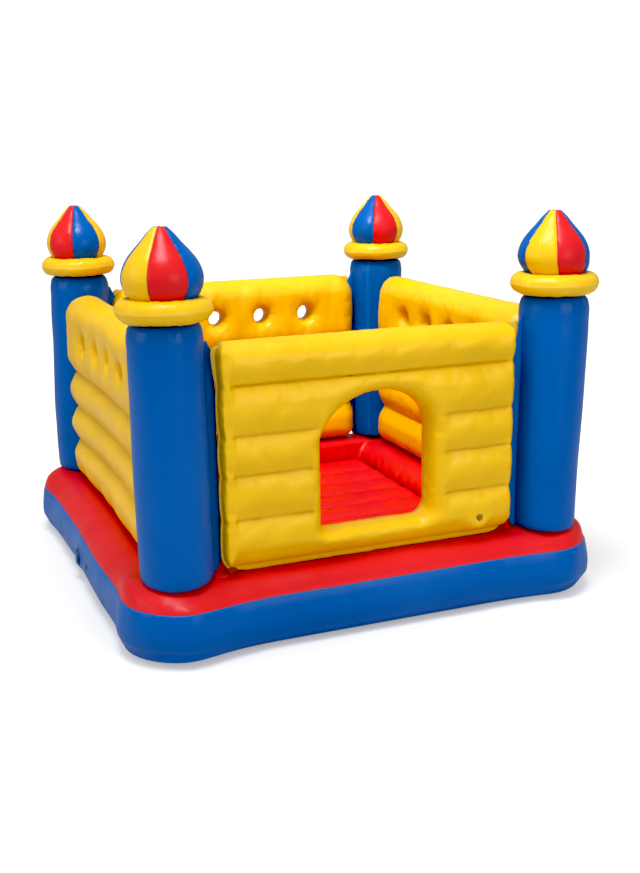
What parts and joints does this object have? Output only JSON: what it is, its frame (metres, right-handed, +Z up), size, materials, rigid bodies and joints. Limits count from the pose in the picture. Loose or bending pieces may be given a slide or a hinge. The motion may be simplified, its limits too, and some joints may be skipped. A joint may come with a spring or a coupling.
{
  "type": "inflatable bounce house",
  "caption": "Square inflatable castle bouncer: puffed ring base, ribbed floor, corner towers with onion domes, lobed walls with round windows and a crawl-through arch.",
  "frame": {"origin": "middle of the footprint on the ground", "axes": "+Z up; -Y is the front, the side with the crawl-through door; +X is to the right when facing the door from outside"},
  "size_m": [1.7702, 1.7496, 1.35],
  "materials": {
    "blue_vinyl": "soft gloss PVC sheet",
    "red_vinyl": "soft gloss PVC sheet",
    "yellow_vinyl": "soft gloss PVC sheet",
    "valve_blue_plastic": "moulded plastic",
    "valve_clear_soft_plastic": "translucent soft moulded vinyl"
  },
  "bodies": {
    "bouncer": {"base_lower_skin": "blue_vinyl", "base_small_valve_patch": "valve_clear_soft_plastic", "base_upper_skin": "red_vinyl", "base_valve_socket": "valve_blue_plastic", "collar_back_left": "yellow_vinyl", "collar_back_right": "yellow_vinyl", "collar_front_left": "yellow_vinyl", "collar_front_right": "yellow_vinyl", "dome_back_left_gore_1_red": "red_vinyl", "dome_back_left_gore_2_blue": "blue_vinyl", "dome_back_left_gore_3_yellow": "yellow_vinyl", "dome_back_left_gore_4_red": "red_vinyl", "dome_back_left_gore_5_blue": "blue_vinyl", "dome_back_left_gore_6_yellow": "yellow_vinyl", "dome_back_right_gore_1_blue": "blue_vinyl", "dome_back_right_gore_2_red": "red_vinyl", "dome_back_right_gore_3_yellow": "yellow_vinyl", "dome_back_right_gore_4_blue": "blue_vinyl", "dome_back_right_gore_5_red": "red_vinyl", "dome_back_right_gore_6_yellow": "yellow_vinyl", "dome_front_left_gore_1_yellow": "yellow_vinyl", "dome_front_left_gore_2_red": "red_vinyl", "dome_front_left_gore_3_blue": "blue_vinyl", "dome_front_left_gore_4_yellow": "yellow_vinyl", "dome_front_left_gore_5_red": "red_vinyl", "dome_front_left_gore_6_blue": "blue_vinyl", "dome_front_right_gore_1_yellow": "yellow_vinyl", "dome_front_right_gore_2_red": "red_vinyl", "dome_front_right_gore_3_blue": "blue_vinyl", "dome_front_right_gore_4_yellow": "yellow_vinyl", "dome_front_right_gore_5_red": "red_vinyl", "dome_front_right_gore_6_blue": "blue_vinyl", "floor_beam_1": "red_vinyl", "floor_beam_2": "red_vinyl", "floor_beam_3": "red_vinyl", "floor_beam_4": "red_vinyl", "floor_beam_5": "red_vinyl", "floor_beam_6": "red_vinyl", "floor_beam_7": "red_vinyl", "floor_bottom_sheet": "blue_vinyl", "floor_top_sheet": "red_vinyl", "tower_back_left": "blue_vinyl", "tower_back_right": "blue_vinyl", "tower_front_left": "blue_vinyl", "tower_front_right": "blue_vinyl", "wall_back": "yellow_vinyl", "wall_front": "yellow_vinyl", "wall_front_foot_tab_left": "red_vinyl", "wall_front_foot_tab_right": "red_vinyl", "wall_left": "yellow_vinyl", "wall_right": "yellow_vinyl", "wall_valve_patch": "valve_clear_soft_plastic"},
    "base_valve_gasket_body": {"base_valve_gasket": "valve_clear_soft_plastic"},
    "base_valve_insert_body": {"base_valve_insert": "valve_blue_plastic"},
    "base_valve_cap_body": {"base_valve_cap": "valve_clear_soft_plastic"},
    "base_valve_flap_body": {"base_valve_flap": "valve_clear_soft_plastic"},
    "base_small_valve_stem_body": {"base_small_valve_stem": "valve_clear_soft_plastic"},
    "base_small_valve_stopper_body": {"base_small_valve_stopper": "valve_clear_soft_plastic"},
    "wall_valve_stem_body": {"wall_valve_stem": "valve_clear_soft_plastic"},
    "wall_valve_stopper_body": {"wall_valve_stopper": "valve_clear_soft_plastic"}
  },
  "joints": [
    {"name": "base_valve_lift", "type": "slide", "parent": "bouncer", "child": "base_valve_gasket_body", "axis": [-1, 0, 0], "range_m": [0, 0.0121]},
    {"name": "base_valve_unscrew", "type": "hinge", "parent": "base_valve_gasket_body", "child": "base_valve_insert_body", "pos_m": [-0.875, 0.02, 0.09], "axis": [-1, 0, 0], "range_deg": [0, 1080]},
    {"name": "base_valve_cap_open", "type": "hinge", "parent": "base_valve_insert_body", "child": "base_valve_cap_body", "pos_m": [-0.8835, 0.02, 0.1095], "axis": [0, 1, 0], "range_deg": [0, 150]},
    {"name": "base_valve_flap_open", "type": "hinge", "parent": "base_valve_insert_body", "child": "base_valve_flap_body", "pos_m": [-0.8646, 0.02, 0.1024], "axis": [0, -1, 0], "range_deg": [0, 35]},
    {"name": "base_small_valve_pull", "type": "slide", "parent": "bouncer", "child": "base_small_valve_stem_body", "axis": [-1, 0, 0], "range_m": [0, 0.012]},
    {"name": "base_small_valve_stopper_open", "type": "hinge", "parent": "base_small_valve_stem_body", "child": "base_small_valve_stopper_body", "pos_m": [-0.8791, -0.142, 0.1122], "axis": [0, 1, 0], "range_deg": [0, 120]},
    {"name": "wall_valve_pull", "type": "slide", "parent": "bouncer", "child": "wall_valve_stem_body", "axis": [0, -1, 0], "range_m": [0, 0.012]},
    {"name": "wall_valve_stopper_open", "type": "hinge", "parent": "wall_valve_stem_body", "child": "wall_valve_stopper_body", "pos_m": [0.372, -0.8071, 0.3332], "axis": [-1, 0, 0], "range_deg": [0, 120]}
  ],
  "couplings": [
    {"joint": "base_valve_lift", "follows": "base_valve_unscrew", "m_per_rad": 0.00063662}
  ]
}
